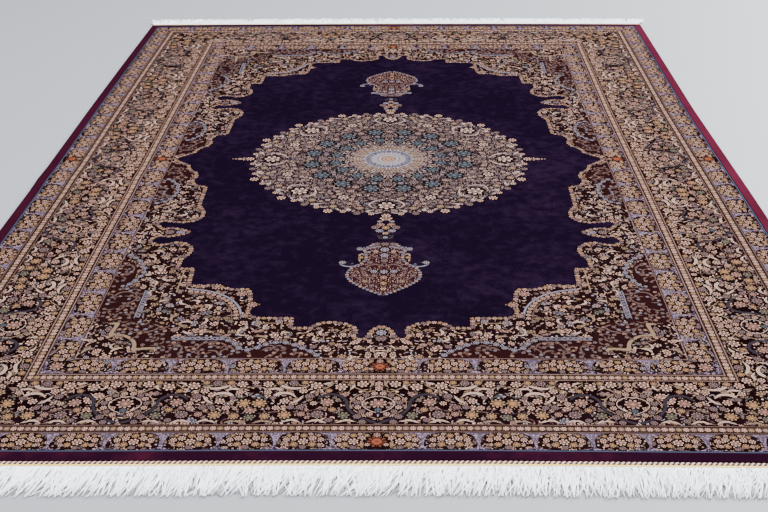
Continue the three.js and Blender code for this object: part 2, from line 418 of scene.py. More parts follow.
def drawBorders():
    # each motif is placed by its distance along a side and out from the edge, from the middle to the mitre
    for toPlan, half in sideWays:
        mirror = -1.0 if half == halfX else 1.0
        # the main border's repeats, mirrored about each great palmette, up to the corner's mitre
        for middle in np.arange(0, half + 1, 2 * bands["repeat"]):
            for way in (-1, 1):
                for along, out, radius, kind in borderBlooms:
                    s = middle + way * along
                    if -1 < s < half - out - radius * 0.6 and not (way < 0 and along in (0, bands["repeat"])):
                        addBloom(*toPlan(s, out), radius, kind, mirror * way * 0.4)
                for k in range(borderRing["count"] // 2 + 1):
                    angle = way * (k + 0.5) * 2 * math.pi / borderRing["count"]
                    s = middle + borderRing["across"] * math.sin(angle)
                    out = borderRing["middle"] + borderRing["out"] * math.cos(angle)
                    if 0 < s < half - out - 6 and k < borderRing["count"] // 2:
                        addBloom(*toPlan(s, out), borderRing["radius"], (cream, pink)[k % 2])
                for points, width, kind in borderStrokes:
                    path = smoothPath([toPlan(middle + way * a, o) for a, o in points])
                    along = path[:, 1] if half == halfY else path[:, 0]
                    out = halfX - path[:, 0] if half == halfY else halfY - path[:, 1]
                    if along.min() > -30 and (half - out - along).min() > -6:
                        addStroke(path, width, kind)
        # the narrow stripes' little flowers
        for low, high in bands["stripes"]:
            out = (low + high) / 2
            steps = round((half - out) / bands["stripePitch"])
            for k in range(steps + 1):
                kind = (cream, cream, gold, cream, peach)[k % 5]
                addBloom(*toPlan(k * (half - out) / steps, out), bands["stripeBloom"], kind, k)
        # the guards' ovals: a double one in the middle, then an even row to the corner
        for low, high in bands["guards"]:
            out = (low + high) / 2
            first, last = bands["firstOval"], half - out - bands["lastOval"]
            count = round((last - first) / bands["ovalPitch"])
            stations = np.linspace(first, last, count + 1)
            halfPitch = (stations[1] - stations[0]) / 2
            for s in stations:
                ovals.oval(toPlan, s, out, halfPitch - bands["ovalGap"], bands["ovalHalfWidth"])
                for a, o, radius, kind in ovalBlooms:
                    addBloom(*toPlan(s + a, out + o), radius, kind)
            ovals.oval(toPlan, 0, out, bands["doubleOval"], bands["ovalHalfWidth"])
            addBloom(*toPlan(0, out - 2), 21, orange)
            addBloom(*toPlan(0, out + 19), 8, peach)
            for a, o, radius, kind in ovalBlooms:
                if a > -30:
                    addBloom(*toPlan(44 + a * 0.9, out + o), radius, kind)
            addBloom(halfX - out, halfY - out, 17, peach)


# Field: the dark open middle, and the arabesques that close it in
fieldOutline = np.array([
    (634, -300), (634, 6), (622, 20), (608, 33), (596, 42), (585, 56), (580, 78), (569, 95), (556, 108),
    (549, 127), (549, 146), (556, 160), (550, 186), (540, 202), (510, 214), (508, 348), (498, 362),
    (489, 386), (488, 413), (495, 432), (504, 443), (530, 452), (556, 450), (582, 442), (598, 450),
    (598, 468), (586, 484), (580, 496), (556, 488), (530, 496), (504, 514), (530, 532), (556, 541),
    (580, 533), (590, 546), (598, 558), (594, 574), (572, 592), (552, 586), (524, 574), (504, 582),
    (488, 600), (482, 621), (488, 648), (499, 668), (501, 722), (462, 724), (459, 806), (434, 819),
    (407, 808), (374, 822), (350, 832), (318, 830), (308, 848), (306, 872), (302, 893), (284, 904),
    (304, 926), (302, 955), (280, 969), (202, 970), (200, 1014), (154, 1014), (146, 1000), (128, 990),
    (106, 988), (80, 996), (60, 1012), (55, 1030), (62, 1052), (50, 1064), (38, 1064), (27, 1047),
    (22, 1028), (10, 1012), (0, 1006), (-300, 1006), (-300, -300),
], float)
# red-brown panels behind the flowers, against the inner guard
panelOutlines = [np.array(p, float) for p in (
    [(642, 30), (618, 44), (600, 62), (588, 84), (572, 104), (562, 130), (566, 152), (580, 180),
      (600, 220), (604, 270), (592, 310), (612, 340), (642, 344)],
    [(642, 668), (612, 690), (596, 720), (592, 762), (600, 800), (572, 826), (556, 838), (556, 968),
      (536, 980), (500, 984), (470, 1010), (458, 1052), (456, 1066), (330, 1068), (316, 1092),
      (286, 1110), (262, 1092), (236, 1082), (200, 1084), (170, 1102), (140, 1130), (130, 1142),
      (480, 1142), (478, 1110), (526, 1094), (536, 1070), (556, 1046), (584, 1040), (584, 990),
      (642, 984)],
)]
ribbonPaths = [
    # blue-white flower ribbons along the panels
    [(636, 640), (612, 664), (594, 687), (580, 717), (578, 752), (592, 790), (606, 818)],
    [(340, 1062), (318, 1074), (306, 1096), (288, 1108), (266, 1100), (246, 1084), (222, 1076),
      (196, 1080), (170, 1098), (146, 1116), (128, 1138)],
    [(632, 150), (606, 176), (590, 206), (584, 244), (590, 284), (606, 316), (636, 330)],
]
salmonPaths = [
    [(622, 866), (612, 846), (592, 842), (572, 856), (568, 880), (582, 896), (600, 894)],
    [(600, 940), (590, 920), (574, 912), (564, 930)],
    [(620, 700), (606, 716), (606, 740), (622, 756)],
    [(326, 1110), (334, 1086), (356, 1074), (382, 1080), (394, 1104)],
    [(340, 1132), (338, 1110), (324, 1100)],
    [(340, 1132), (350, 1112), (366, 1110)],
    [(504, 996), (488, 1006), (472, 1022)],
    [(488, 1006), (500, 1024), (520, 1030)],
    [(560, 1010), (540, 1020), (530, 1044), (544, 1062)],
    [(430, 1124), (424, 1100), (438, 1082), (456, 1090)],
    [(230, 1130), (220, 1112), (236, 1098), (252, 1108)],
    [(620, 90), (604, 100), (592, 120), (600, 140), (616, 138)],
    [(630, 210), (618, 226), (618, 250), (630, 262)],
]


peachBlooms = [(390, 817, 15), (327, 852, 15), (297, 906, 14), (432, 814, 10), (308, 958, 10)]  # x, y, radius
goldPaths = [
    [(481, 726), (481, 846)], [(462, 724), (460, 830)], [(275, 992), (202, 992)], [(280, 970), (202, 970)],
    [(202, 970), (201, 1014)], [(221, 992), (221, 1016)],
]
# flower lanes between two blue-white lines, with the way that they stand apart
lanePaths = [([(549, 834), (549, 968)], (1.0, 0.0)), ([(456, 1059), (330, 1059)], (0.0, 1.0))]
pairedBlooms = [(528, 514, lilac), (556, 514, pink), (0, 1034, lilac), (0, 1060, pink)]  # x, y, kind
fieldTrim = {
    "ribbonWidth": 2.6, "ribbonPitch": 22.0, "ribbonBloom": 8.0, "salmonWidth": 2.4, "goldWidth": 1.5,
    "archMiddle": (456.0, 970.0), "archLines": [(140.0, 2.6, blueWhite), (120.0, 1.4, salmon)],
    "archFlowers": 130.0, "archPitch": 15.0, "archBloom": 6.5,
    "laneHalf": 5.0, "laneLine": 1.5, "lanePitch": 12.0, "laneBloom": 4.6, "pairedBloom": 13.0,
    "lobeMiddle": (583.0, 1096.0), "lobeRadius": 55.0, "lobeWidth": 4.4, "rimPitch": 12.5, "rimBloom": 6.8,
    "panelBox": (100, 642, 30, 1142), "fieldBox": (0, 642, 0, 1142), "leafTries": 900,
}


def arabesque(x, y):
    # inside the guards and outside the open field
    frameDistance = np.minimum(halfX - bands["fieldFrom"] - x, halfY - bands["fieldFrom"] - y)
    return np.minimum(frameDistance, -insideDistance(fieldOutline, x, y))


def panels(x, y):
    # distance inside the nearest panel
    return np.max([insideDistance(p, x, y) for p in panelOutlines], axis=0)


def alongRim(points, pitch):
    # evenly spaced spots on a path, from half a pitch along it
    path = np.asarray(points, float)
    step = np.hypot(*np.diff(path, axis=0).T)
    length = np.concatenate([[0], np.cumsum(step)])
    spots = np.arange(pitch / 2, length[-1], pitch)
    x, y = np.interp(spots, length, path[:, 0]), np.interp(spots, length, path[:, 1])
    return np.column_stack([x, y])


def archArc(angle, radius):
    # points round the arch's middle, by angle from its outer side
    x, y = fieldTrim["archMiddle"]
    return np.column_stack([x + radius * np.cos(angle), y - radius * np.sin(angle)])


def drawField():
    # ribbons, lines and rows of blooms go on their paths, then small ones fill what is left
    trim = fieldTrim
    for path in ribbonPaths:
        addStroke(smoothPath(path), trim["ribbonWidth"], blueWhite + ribbon, 0)
        for x, y in alongRim(smoothPath(path), trim["ribbonPitch"]):
            addBloom(x, y, trim["ribbonBloom"], lilac)
    for path in salmonPaths:
        addStroke(smoothPath(path), trim["salmonWidth"], salmon + ribbon)
    angle = np.linspace(0.5 * math.pi, math.pi, 26)
    for radius, width, kind in trim["archLines"]:
        addStroke(archArc(angle, radius), width, kind + ribbon, 0)
    for x, y in alongRim(archArc(angle, trim["archFlowers"]), trim["archPitch"]):
        addBloom(x, y, trim["archBloom"], cream)
    for x, y, radius in peachBlooms:
        addBloom(x, y, radius, peach)
    for path in goldPaths:
        addStroke(np.array(path, float), trim["goldWidth"], gold + ribbon, 1)
    for path, apart in lanePaths:
        for way in (-1, 1):
            line = np.array(path, float) + way * trim["laneHalf"] * np.array(apart)
            addStroke(line, trim["laneLine"], blueWhite + ribbon, way > 0)
        for x, y in alongRim(path, trim["lanePitch"]):
            addBloom(x, y, trim["laneBloom"], lilac)
    # the corner's lobe, with its stepped beige outline
    angle = np.linspace(-0.15, 1.75, 20)
    (x, y), radius = trim["lobeMiddle"], trim["lobeRadius"]
    lobe = np.column_stack([x - radius * np.sin(angle), y - radius * np.cos(angle)])
    stepped = np.vstack([[(606, 992), (584, 992)], lobe, [(500, 1100), (480, 1100), (480, 1116)]])
    addStroke(stepped, trim["lobeWidth"], gold + ribbon, 1)
    # a scalloped edge of flower heads against the open field
    for k, (x, y) in enumerate(alongRim(fieldOutline[1:-2], trim["rimPitch"])):
        addBloom(x, y, trim["rimBloom"], (cream, gold, cream, peach, pink)[k % 5], k)
    for x, y, kind in pairedBlooms:
        addBloom(x, y, trim["pairedBloom"], kind)
    fillBlooms(panels, trim["panelBox"], (5.6, 4.6), (pink, pink, peach, lilac),
               spacing=1.2, leafShare=0.9, tries=1800, leafKinds=(salmon, salmon, orange))
    fillLeaves(lambda x, y: np.minimum(arabesque(x, y), -panels(x, y)), trim["fieldBox"], trim["leafTries"])


# Medallion: rows of rosettes by radius, and pendants at its ends
medallion = {
    # edge and inner ground: radius, waves round it, depth of a wave
    "edge": (398.0, 32.0, 5.0), "ground": (256.0, 16.0, 8.0), "disc": 396.0,
    "starReach": 111.0, "starLine": 114.0, "starPoints": 16.0, "coreReach": 74.0, "beadsFrom": 20.0,
    # dyes of the middle's rings from each radius on, read up to the last number
    "rings": [
        (0, "peach"), (7, "heartRed"), (12, "peach"), (17, "heartRed"), (22, "white"), (30, "ringBlue"),
        (34, "white"), (44, "ringBlue"), (47, "white"), (50, "ringBlue"), (61, "slate"), (63, "ringBlue"),
        (70, "white"),
    ], "ringsTo": 80.0,
    "sideTail": [(424, 13), (441, 8), (453, 5), (462, 3)],  # x and radius of the flowers beyond its side
    # vines mirrored about every sixteenth: radius and degrees of each point, half width, kind
    "vines": [
        (((170, 1.0), (186, 8), (206, 8.5), (216, 1.5)), 2.6, lilac),
        (((244, 2), (258, 8), (272, 5), (286, 1)), 3.2, pink),
        (((130, 2), (142, 4), (166, 5), (176, 2)), 2.4, cream),
        (((388, 2), (396, 4), (386, 8), (374, 5)), 3.0, cream),
    ],
    "palmetteLeaf": ((300, 1.5), (316, 6), (342, 8), (366, 5)), "clusterRadius": 312.0,
    "clusterRings": [(27, 7, 8.5), (46, 12, 8.0)],  # radius, flowers, size of each
}
medallionRows = [
    # radius, first angle and step in degrees, size, kind
    (411, 0.0, 22.5, 14, cream), (403, 11.25, 22.5, 11, pink), (401, 5.6, 11.25, 9.5, cream),
    (345, 0.0, 45.0, 25, cream), (368, 11.25, 22.5, 12, gold), (312, 22.5, 45.0, 17, cream),
    (229, 11.25, 22.5, 25, teal), (156, 11.25, 22.5, 20, teal), (264, 0.0, 45.0, 13, pink),
    (194, 0.0, 22.5, 16, pink), (190, 11.25, 22.5, 9, lilac), (378, 22.5, 45, 12, gold),
    (264, 22.5, 45.0, 12, peach), (232, 0.0, 22.5, 12, peach), (150, 0.0, 22.5, 9, pink),
]
pendantOutline = np.array([
    (-40, 572), (20, 572), (28, 580), (30, 592), (40, 600), (52, 618), (46, 640), (44, 668), (52, 690),
    (64, 706), (80, 722), (88, 748), (86, 772), (76, 792), (62, 808), (46, 824), (32, 836), (14, 850),
    (0, 862), (-40, 856),
], float)
pendantStrokes = [
    ([(14, 598), (28, 606), (44, 612), (62, 622), (70, 612), (62, 604),
      (56, 612)], 2.4, blueWhite + ribbon),
    ([(46, 652), (60, 640), (62, 662), (60, 684)], 2.4, gold + ribbon),
    ([(62, 700), (80, 712), (98, 708), (108, 696), (102, 684), (92, 690)], 2.4, blueWhite + ribbon),
    ([(74, 716), (86, 744), (84, 772), (74, 791), (58, 810), (42, 826), (16, 848),
      (0, 860)], 1.4, blueWhite + ribbon),
    ([(0, 712), (24, 700), (44, 716), (52, 742), (40, 768), (20, 776)], 2.6, salmon + ribbon),
    ([(64, 730), (74, 750), (60, 776), (36, 800)], 2.4, salmon + ribbon),
    ([(0, 640), (18, 632), (30, 648), (20, 664)], 2.4, salmon + ribbon),
    ([(8, 534), (18, 540), (20, 532)], 3.0, lilac),
    ([(0, 554), (12, 552), (20, 538)], 3.6, lilac),
]
pendantBlooms = [
    (0, 428, 18, cream), (16, 448, 8, lilac), (14, 470, 13, peach), (27, 485, 12, pink),
    (0, 487, 12, gold), (16, 505, 12, lilac), (0, 521, 9, cream), (0, 546, 8, lilac), (0, 586, 11, pink),
    (20, 586, 10, pink), (0, 618, 13, lilac), (0, 650, 12, lilac), (0, 680, 10, pink),
    (62, 614, 9, lilac), (58, 662, 8, gold), (102, 690, 10, lilac), (24, 738, 10, lilac),
    (0, 740, 11, lilac), (0, 770, 10, peach), (22, 760, 8, pink), (0, 800, 10, gold), (0, 828, 8, cream),
    (50, 724, 8, pink), (34, 690, 8, pink), (70, 760, 8, pink), (44, 790, 8, peach), (28, 812, 7, pink),
    (22, 628, 7, cream), (40, 632, 7, lilac),
]


def onRing(radius, degrees):
    # the plan's x and y at a radius and an angle from the short middle line
    return radius * math.cos(math.radians(degrees)), radius * math.sin(math.radians(degrees))


def inQuarter(rows):
    # spots in the quarter or on its two middle lines
    return [(x, y) for x, y in rows if x > -1 and y > -1]


def drawMedallion():
    # pendant first, then rings of rosettes, clusters, leaves and vines by radius and angle
    for x, y, radius, kind in pendantBlooms:
        addBloom(x, y, radius, kind)
    for points, width, kind in pendantStrokes:
        addStroke(smoothPath(points), width, kind)
    for k, (x, y) in enumerate(alongRim(pendantOutline[2:-1], 12.0)):
        addBloom(x, y, 5.2, (lilac, cream, lilac)[k % 3])
    for radius, first, step, size, kind in medallionRows:
        for x, y in inQuarter(onRing(radius, first + step * k) for k in range(-1, 18)):
            addBloom(x, y, size, kind, math.atan2(y, x))
    for x, radius in medallion["sideTail"]:
        addBloom(x, 0, radius, cream)
    # flower clusters between the great palmettes
    for degrees in (22.5, 67.5):
        x, y = onRing(medallion["clusterRadius"], degrees)
        for radius, count, size in medallion["clusterRings"]:
            for k in range(count):
                dx, dy = onRing(radius, degrees + 360 * (k + 0.5) / count)
                addBloom(x + dx, y + dy, size, (pink, cream, peach)[k % 3])
    # leaves beside the great palmettes and vines round the rings
    for degrees in (0, 45, 90):
        for way in (-1, 1):
            path = [onRing(r, degrees + way * a) for r, a in medallion["palmetteLeaf"]]
            if 0 < degrees + way < 90:
                addStroke(smoothPath(path), 2.2, cream)
    for degrees in np.arange(0, 91, 22.5):
        for way in (-1, 1):
            for points, width, kind in medallion["vines"]:
                path = smoothPath([onRing(r, degrees + way * a) for r, a in points])
                if path.min() > -2:
                    addStroke(path, width, kind)


drawBorders()
print("borders drawn:", sum(len(known) for known in placed), "blooms")
drawMedallion()
drawField()


def mainBorder(x, y):
    # distance inside the main border
    low, high = bands["main"]
    out = np.minimum(halfX - x, halfY - y)
    return np.minimum(out - low, high - out)


fillLeaves(mainBorder, (0, halfX, 0, halfY), bands["leafTries"])
print("design drawn:", sum(len(known) for known in placed), "blooms,", drawn["strokes"], "strokes")


# Dyes, as screen colours
pileDye = {
    # the plain edge is wine, with a painted shade for its ends and a painted sheen for its right side
    "wine": (36, 8, 21), "wineShadedEnd": (23, 5, 18), "wineSheen": (62, 18, 32), "edgeBlue": (47, 52, 69),
    "navy": (16, 15, 25), "guard": (54, 46, 55), "guardCurl": (101, 85, 99), "line": (15, 6, 7),
    "beige": (87, 67, 60), "stripe": (51, 38, 33), "borderOuter": (17, 5, 9), "borderInner": (11, 3, 4),
    "field": (10, 4, 16), "fieldLight": (26, 14, 32), "arabesque": (16, 6, 7), "panel": (24, 8, 9),
    "pendant": (31, 11, 15), "medallion": (25, 14, 20), "medallionInner": (32, 24, 32), "oval": (16, 6, 6),
    "outline": (10, 4, 4), "back": (44, 21, 28), "peach": (112, 89, 76), "rayDark": (58, 47, 44),
    "ringBlue": (73, 74, 89), "white": (120, 112, 115), "heartRed": (91, 66, 56), "slate": (29, 24, 31),
}
# by kind: cream, gold, pink, teal, lilac, orange, green, peach
petalDyes = [
    (151, 119, 105), (109, 87, 68), (95, 78, 78), (63, 68, 74),
    (106, 97, 103), (73, 39, 29), (78, 73, 64), (118, 92, 83),
]
heartDyes = [
    (79, 60, 55), (107, 74, 50), (62, 45, 45), (42, 46, 52),
    (71, 65, 79), (97, 51, 34), (60, 53, 45), (89, 61, 54),
]
strokeDyes = [
    (134, 111, 100), (96, 78, 63), (68, 51, 48), (48, 51, 53),
    (33, 28, 34), (71, 50, 45), (87, 83, 95), (23, 14, 18),
]


def constantStops(rows):
    # ramp stops of places and screen colours
    return [(place, linear(*colour)) for place, colour in rows]


def rowStops(rows, last):
    # ramp stops of distances and dye names, as shares of the last distance
    return constantStops([(at / last, pileDye[name]) for at, name in rows])


def between(value, low, high):
    return (value > low) * (value < high)


def byKind(nodes, kind, dyes):
    # the kind's dye, from the middle of its eighth of a ramp
    return nodes.ramp((kind + 0.5) / 8.0, constantStops([(k / 8.0, dye) for k, dye in enumerate(dyes)]))


def paintStrokes(nodes, colour, name):
    # leaf: half width falls to nought at both ends; ribbon: even; each with a dark outline and a leaf's rib
    along, off, kind = nodes.split(nodes.attribute(name))
    even = (kind % 1.0) > 0.25
    swell = (along * (1.0 - along) * 4.0).math("MAXIMUM", 0.0)
    leaf = swell ** 0.7
    band = (swell * 6.0).math("MINIMUM", 1.0)
    half = leaf + even * (band - leaf)
    away = abs(off)
    shown = kind < 8.5
    dye = byKind(nodes, kind.math("FLOOR"), strokeDyes)
    rib = (away < half * 0.16) * (1.0 - even)
    dye = nodes.mix(rib * 0.55, dye, linear(*pileDye["stripe"]))
    colour = nodes.mix(shown * (away < half + 0.34) * (half > 0.05), colour, linear(*pileDye["outline"]))
    return nodes.mix(shown * (away < half), colour, dye)


def rosette(nodes, out, angle, lobes, phase, petal, heart, dark):
    # two rows of petals round a heart: rims are the absolute cosine of half the lobes' angle, and dark lines
    # run in the notches between petals and between the rows
    wave = abs((angle * lobes * 0.5 + phase).math("COSINE"))
    inner = abs((angle * 2.5 + phase).math("COSINE"))
    rim = 0.47 + wave * 0.45
    fade = ((out - 0.3) * 2.6).math("MAXIMUM", 0.0, clamp=True)
    dye = nodes.mix(0.35 + fade * 0.65, heart, petal)
    notch = (wave < 0.46) * (out > 0.44) + (out > 0.42 + inner * 0.08) * (out < 0.53 + inner * 0.08)
    dye = nodes.mix(notch.math("MINIMUM", 1.0) * 0.8, dye, dark)
    dye = nodes.mix(out < 0.4 + inner * 0.08, dye, heart)
    return rim, nodes.mix(out < 0.17, dye, petal)


def paintBlooms(nodes, colour, name, quiet):
    # a rosette in each bloom's own coordinates, with a dark line round it; quiet under 1 dulls line and heart
    u, v, kind = nodes.split(nodes.attribute(name))
    out = (u * u + v * v).math("SQRT")
    dark = linear(*pileDye["outline"])
    rim, dye = rosette(nodes, out, v.math("ARCTAN2", u), 7.0 + (kind % 3.0) * 2.0, 0.0,
                       byKind(nodes, kind, petalDyes), byKind(nodes, kind, heartDyes), linear(*pileDye["line"]))
    dye = nodes.mix((1.0 - quiet) * 0.9, dye, byKind(nodes, kind, petalDyes))
    colour = nodes.mix((out < rim + 0.4) * quiet, colour, dark)
    return nodes.mix(out < rim, colour, dye)


# the small flowers between: the nets' warp, cell sizes and unevenness, and dyes from each chance on
filler = {
    "warp": 1.3, "warpScale": 0.02, "heads": 28.5, "marks": 11.5, "randomness": 0.85,
    "markDyes": [(0.0, petalDyes[cream]), (0.24, petalDyes[pink]), (0.4, petalDyes[gold]),
                 (0.55, heartDyes[cream]), (0.76, petalDyes[lilac]), (0.9, heartDyes[pink])],
    "petalDyes": [(0.0, petalDyes[cream]), (0.42, petalDyes[gold]), (0.6, petalDyes[peach]),
                  (0.72, petalDyes[pink]), (0.86, petalDyes[green]), (0.94, petalDyes[lilac])],
    "heartDyes": [(0.0, heartDyes[cream]), (0.4, heartDyes[pink]), (0.6, heartDyes[peach]),
                  (0.75, heartDyes[green]), (0.88, heartDyes[teal])],
}


def cells(nodes, x, y, size, drift):
    # a warped Voronoi net: offset from the cell's middle, three chances of the cell, and the net's inputs
    spot = nodes.make("ShaderNodeCombineXYZ", {}, {"X": x / size, "Y": y / size})
    spot = nodes.make("ShaderNodeVectorMath", {"operation": "ADD"}, {0: spot, 1: drift})
    inputs = {"Vector": spot, "Scale": 1.0, "Randomness": filler["randomness"]}
    flat = {"voronoi_dimensions": "2D"}
    middle = nodes.make("ShaderNodeTexVoronoi", flat, inputs, "Position")
    mark = nodes.make("ShaderNodeTexVoronoi", flat, inputs, "Color")
    offset = nodes.make("ShaderNodeVectorMath", {"operation": "SUBTRACT"}, {0: spot, 1: middle})
    return *nodes.split(offset)[:2], nodes.split(mark), inputs


def paintFiller(nodes, colour, x, y, scale, marked, shown, dark):
    # small bowed leaves and buds on the ground, then flower heads over them, one to a cell of each net
    plane = nodes.make("ShaderNodeCombineXYZ", {}, {"X": x, "Y": y})
    drift = nodes.make("ShaderNodeTexNoise", {"noise_dimensions": "2D"},
                       {"Vector": plane, "Scale": filler["warpScale"], "Detail": 1.0}, "Color")
    drift = nodes.multiply(drift, filler["warp"])
    u, v, (one, two, three) = cells(nodes, x, y, filler["marks"] * scale, drift)[:3]
    out = (u * u + v * v).math("SQRT")
    turned = v.math("ARCTAN2", u) + two * anyTurn
    a, b = out * turned.math("COSINE"), out * turned.math("SINE")
    leaf = abs(b - a * a * 0.9 + 0.12) < 0.13 - a * a * 0.35
    bud = out < 0.25
    shape = leaf + (one > 0.72) * (bud - leaf)
    dye = nodes.ramp(three, constantStops(filler["markDyes"]))
    colour = nodes.mix(shape * (one > 0.26) * marked, colour, dye)
    u, v, (one, two, three), net = cells(nodes, x, y, filler["heads"] * scale, drift)
    edge = nodes.make("ShaderNodeTexVoronoi", {"voronoi_dimensions": "2D", "feature": "DISTANCE_TO_EDGE"},
                      net, "Distance")
    out = (u * u + v * v).math("SQRT") / (0.3 + two * 0.1)
    petal = nodes.ramp(three, constantStops(filler["petalDyes"]))
    heart = nodes.ramp(two, constantStops(filler["heartDyes"]))
    lobes = (6.0 + one * 4.0).math("FLOOR")
    rim, dye = rosette(nodes, out, v.math("ARCTAN2", u), lobes, two * anyTurn, petal, heart, dark)
    inCell = (edge > 0.06) * shown
    colour = nodes.mix((out < rim + 0.42) * shown, colour, dark)
    return nodes.mix((out < rim) * inCell, colour, dye)


def pileMaterial():
    # bands by the distance from the edge, then the field, ovals, small flowers, strokes, blooms and star
    nodes = NodeTable("silk pile")
    dye = {name: linear(*value) for name, value in pileDye.items()}
    px, py, face = nodes.split(nodes.attribute("plan"))
    x, y = abs(px), abs(py)
    out = (halfX - x).math("MINIMUM", halfY - y)  # distance from the outer edge
    place = nodes.make("ShaderNodeTexCoord", {}, {}, "Object")

    def noise(**inputs):
        return nodes.make("ShaderNodeTexNoise", {}, {"Vector": place, **inputs}, 0)

    clouds = noise(Scale=3.2, Detail=5.0, Roughness=0.65)
    curls = noise(Scale=170.0, Detail=1.0, Distortion=1.4)
    tufts = noise(Scale=420.0, Detail=2.0)
    mottle = noise(Scale=34.0, Detail=4.0, Roughness=0.7)

    colour = nodes.ramp(out / bands["rowsTo"], rowStops(bands["rows"], bands["rowsTo"]))
    guardOne, guardTwo = (between(out, *ground) for ground in bands["guardGrounds"])
    onGuard = guardOne + guardTwo
    colour = nodes.mix(onGuard * ((out < 44.0) + between(out, 200.0, 313.0)), colour, dye["medallionInner"])
    colour = nodes.mix(onGuard * (curls > 0.53), colour, dye["guardCurl"])
    # painted sheen and shade of the plain edge by its side: painted shade darkens the ends, a painted sheen
    # turns the right side crimson, and cloudy patches of the ends take painted glints
    atEnd = (halfY - y) < (halfX - x)
    edge = nodes.mix(px > 0.0, dye["wine"], dye["wineSheen"])
    glint = ((clouds - 0.5) * 5.0).math("MAXIMUM", 0.0, clamp=True) * 0.55
    endShade = nodes.mix(glint, dye["wineShadedEnd"], dye["wineSheen"])
    edge = nodes.multiply(nodes.mix(atEnd, edge, endShade), 0.45 + clouds * 1.1)
    colour = nodes.mix(out < bands["plainEdge"], colour, edge)
    mainLow, mainHigh = bands["mainGround"]
    colour = nodes.mix(between(out, bands["innerFrom"], mainHigh), colour, dye["borderInner"])

    # the field and what lies on it
    field, panel, pendant = nodes.split(nodes.attribute("outlines"))
    inner = out > bands["fieldFrom"]
    colour = nodes.mix(inner * (panel > 0.0), colour, dye["panel"])
    lightness = (clouds - 0.5) * 1.6 + (mottle - 0.5) * 2.2 + 0.12
    openField = nodes.mix(lightness.math("MAXIMUM", 0.0, clamp=True), dye["field"], dye["fieldLight"])
    colour = nodes.mix(inner * (field > 0.0), colour, openField)
    colour = nodes.mix(pendant > 0.0, colour, dye["pendant"])
    rho = (x * x + y * y).math("SQRT")
    turn = y.math("ARCTAN2", x)
    for form, name in (("edge", "medallion"), ("ground", "medallionInner")):
        radius, waves, depth = medallion[form]
        colour = nodes.mix(rho + (turn * waves).math("COSINE") * depth < radius, colour, dye[name])

    u, v = nodes.split(nodes.attribute("ovals"))[:2]
    spread = abs(u * (1.0 - v * 0.12)) ** 2.6 + abs(v) ** 4.0
    colour = nodes.mix(spread < 1.0, colour, dye["oval"])
    stripeOne, stripeTwo = (between(out, *ground) for ground in bands["stripeGrounds"])
    inDisc = rho < medallion["disc"]
    onArabesque = (field < 0.0) * (panel < 0.0)
    onFlowers = between(out, mainLow, mainHigh) + (spread < 0.94) + inner * onArabesque.math("MAXIMUM", inDisc)
    onMarks = onFlowers.math("MAXIMUM", pendant > 3.0)
    # the small flowers are smaller in the medallion, the pendants and the guards
    inGuards = (out < 90.0) + between(out, *bands["guards"][1])
    scale = 1.0 - 0.35 * inDisc - 0.5 * (pendant > 0.0) - 0.25 * inGuards
    ground = nodes.mix(inDisc, dye["line"], dye["medallion"])
    colour = paintFiller(nodes, colour, x, y, scale, onMarks, onFlowers, ground)
    for name in ("strokesOne", "strokesTwo"):
        colour = paintStrokes(nodes, colour, name)
    for name in ("bloomsOne", "bloomsTwo"):
        colour = paintBlooms(nodes, colour, name, 1.0 - (stripeOne + stripeTwo) * 0.4)

    # the medallion's star of fine rays, and the rings of its middle
    points = turn * medallion["starPoints"]
    rays = points.math("COSINE")
    fine = (turn * 64.0 + rho * 0.12).math("COSINE") + (rho * 0.62).math("COSINE") * 0.6
    star = nodes.mix(fine > 0.1, dye["rayDark"], dye["peach"])
    star = nodes.mix((fine > 0.9) * (rays > 0.0), star, dye["white"])
    reach = rho - rays * 8.0 - abs(points.math("SINE")) * 7.0
    inStar = reach < medallion["starReach"]
    colour = nodes.mix(reach < medallion["starLine"], colour, dye["outline"])
    colour = nodes.mix(inStar, colour, star)
    core = nodes.ramp(rho / medallion["ringsTo"], rowStops(medallion["rings"], medallion["ringsTo"]))
    spokes = (turn * 40.0).math("COSINE")
    core = nodes.mix((spokes > 0.25) * between(rho, 26.0, 60.0) * 0.6, core, dye["white"])
    core = nodes.mix((turn * 24.0).math("COSINE") * between(rho, 52.0, 60.0) > 0.6, core, dye["slate"])
    colour = nodes.mix(rho - rays * 2.0 < medallion["coreReach"], colour, core)
    beads = spokes * (rho * 0.17).math("COSINE")
    colour = nodes.mix(inStar * (rho > medallion["beadsFrom"]) * (beads > 0.2) * 0.8, colour, dye["rayDark"])
    # the medallion is knotted in greyer silks
    weights = {0: colour, 1: (0.4, 0.5, 0.1)}
    grey = nodes.make("ShaderNodeVectorMath", {"operation": "DOT_PRODUCT"}, weights, "Value")
    grey = nodes.make("ShaderNodeCombineXYZ", {}, {"X": grey * 1.02, "Y": grey * 0.93, "Z": grey * 1.0})
    colour = nodes.mix(inDisc * (rho > 112.0) * 0.22, colour, grey)

    # tufts and slow shade of the lying pile
    shade = 0.86 + tufts * 0.28 + (clouds - 0.5) * 0.25
    colour = nodes.multiply(colour, shade)
    colour = nodes.mix(face, dye["back"], colour)
    bump = nodes.make("ShaderNodeBump", {}, {"Strength": 0.35, "Distance": 0.0012, "Height": tufts}, 0)
    nodes.feed(Base_Color=colour, Normal=bump, Roughness=0.85, Specular_IOR_Level=0.0)
    return nodes.material


# start and size of the pile's part of the bake map, and the strips below it
bakeMap = {
    "across": (0.004, 0.992), "along": (0.03, 0.966),
    "rimTop": 0.022, "rimStep": 0.005, "underHeight": 0.004,
}


